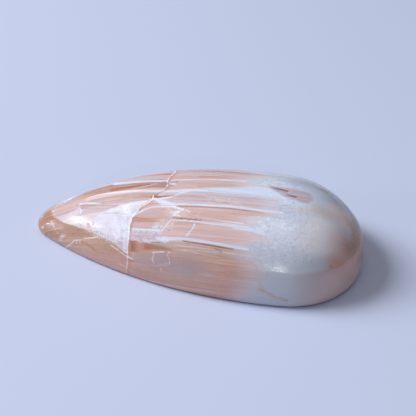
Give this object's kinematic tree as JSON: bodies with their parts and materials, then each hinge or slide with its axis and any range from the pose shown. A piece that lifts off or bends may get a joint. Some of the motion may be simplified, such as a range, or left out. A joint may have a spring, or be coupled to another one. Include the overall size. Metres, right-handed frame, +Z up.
{
  "type": "pear-shaped scolecite cabochon",
  "caption": "Polished pear-shaped cabochon of pink and white fibrous scolecite with a flat back, a low dome and one rough crack across it.",
  "frame": {"origin": "on the flat back, under the middle of the stone's length and width", "axes": "+X along the stone from the narrow tip to the round end, +Z up from the flat back to the dome"},
  "size_m": [0.04, 0.0198, 0.009],
  "materials": {
    "polished_scolecite": "polished translucent fibrous zeolite, white and pink streaks along the stone, clear grey-blue round end, amber tip"
  },
  "bodies": {
    "root": {"cabochon": "polished_scolecite"}
  },
  "joints": []
}
